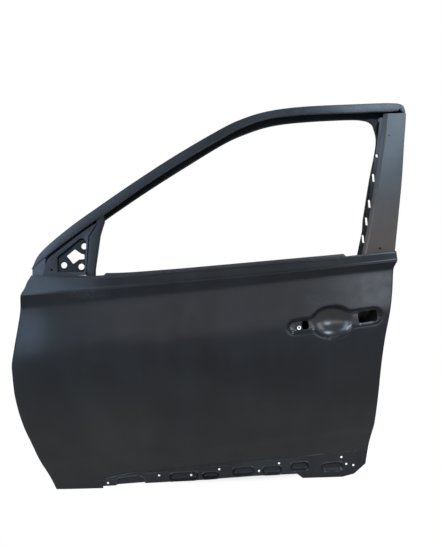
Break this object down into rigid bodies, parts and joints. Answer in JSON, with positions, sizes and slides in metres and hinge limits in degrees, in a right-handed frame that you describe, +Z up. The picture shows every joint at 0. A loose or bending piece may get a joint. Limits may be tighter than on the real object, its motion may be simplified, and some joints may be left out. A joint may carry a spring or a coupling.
{
  "type": "car door shell",
  "caption": "Bare car door shell for the left front: outer skin, window frame, mirror corner and inner stampings, dip-coated and without trim, glass or lock.",
  "frame": {"origin": "centre of the upper hinge's flat face on the front wall of the inner panel", "axes": "-X to the front of the car, out of the hinge faces; -Y to the outside of the car; +Z up"},
  "size_m": [1.2234, 0.2472, 1.1495],
  "materials": {
    "dip_coat": "satin black dip coat",
    "dip_coat_rear_pillar": "satin warm black dip coat",
    "dip_coat_inside": "matte black dip coat",
    "zinc_plate": "bright zinc plate",
    "mastic": "matte"
  },
  "bodies": {
    "root": {"outer_panel": "dip_coat", "inner_panel": "dip_coat_inside", "window_frame_outer": "dip_coat", "window_frame_inner": "dip_coat_inside", "rear_pillar_plate": "dip_coat_rear_pillar", "mirror_corner_plate": "dip_coat", "mirror_reinforcement": "dip_coat_inside", "pillar_foot_plate": "dip_coat", "front_glass_channel": "dip_coat", "rear_glass_channel": "dip_coat", "front_channel_bracket": "dip_coat_inside", "rear_channel_bracket": "dip_coat_inside", "belt_reinforcement_outer": "dip_coat", "belt_reinforcement_inner": "dip_coat_inside", "impact_beam": "dip_coat_inside", "impact_beam_bracket_front": "dip_coat_inside", "impact_beam_bracket_rear": "dip_coat_inside", "antiflutter_pad_1": "mastic", "antiflutter_pad_2": "mastic", "antiflutter_pad_3": "mastic", "upper_hinge_reinforcement": "dip_coat_inside", "lower_hinge_reinforcement": "dip_coat_inside", "upper_hinge_lower_nut": "zinc_plate", "upper_hinge_upper_nut": "zinc_plate", "lower_hinge_lower_nut": "zinc_plate", "lower_hinge_upper_nut": "zinc_plate", "check_arm_reinforcement": "dip_coat_inside", "latch_reinforcement": "dip_coat_inside", "handle_reinforcement": "dip_coat_inside", "handle_bush": "zinc_plate"}
  },
  "joints": []
}
